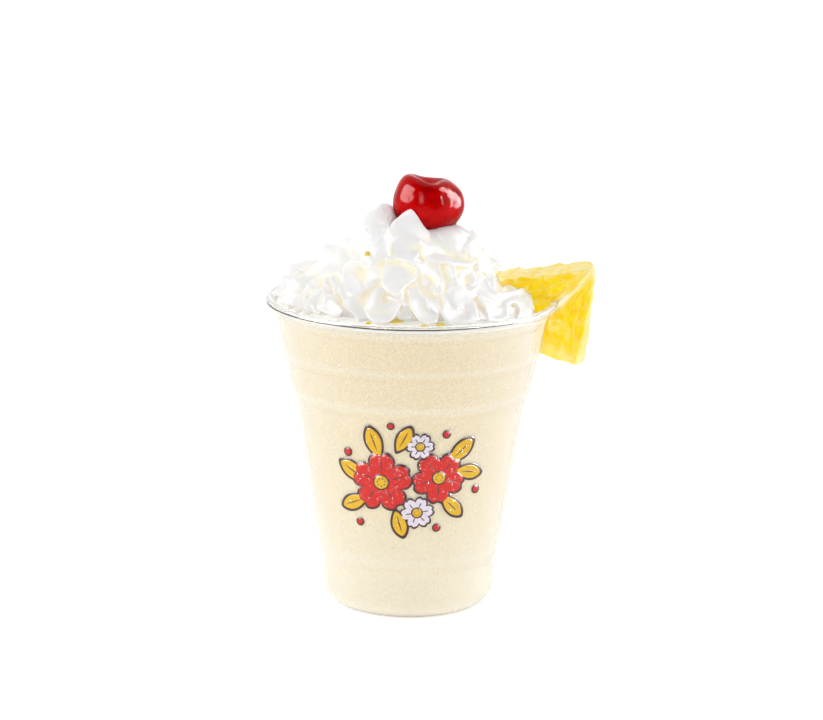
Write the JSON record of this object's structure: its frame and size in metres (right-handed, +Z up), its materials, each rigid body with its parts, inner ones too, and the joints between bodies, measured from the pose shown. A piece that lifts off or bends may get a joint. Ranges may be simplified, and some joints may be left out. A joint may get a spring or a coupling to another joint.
{
  "type": "pina colada frappe",
  "caption": "Blended iced drink in a clear stepped cup, topped with a piped swirl of whipped cream, a stemless cherry and a pineapple wedge on the rim.",
  "frame": {"origin": "centre of the cup's flat base, on the cup's axis", "axes": "+Z up along the cup's axis, +X towards the pineapple wedge on the rim, -Y towards the side with the printed design"},
  "size_m": [0.1112, 0.098, 0.1469],
  "materials": {
    "clear_cup": "clear thin moulded plastic, glossy, with a printed design and fine condensation",
    "frappe": "opaque pale cream blended ice, finely speckled, moist",
    "cream": "soft white piped whipped cream, slightly translucent",
    "cherry_skin": "wet glossy deep red preserved fruit",
    "pineapple_flesh": "moist fibrous yellow fruit flesh, paler at its core and cut edges"
  },
  "bodies": {
    "root": {"cup": "clear_cup", "drink": "frappe", "whipped_cream": "cream", "cherry": "cherry_skin", "pineapple_wedge": "pineapple_flesh"}
  },
  "joints": []
}
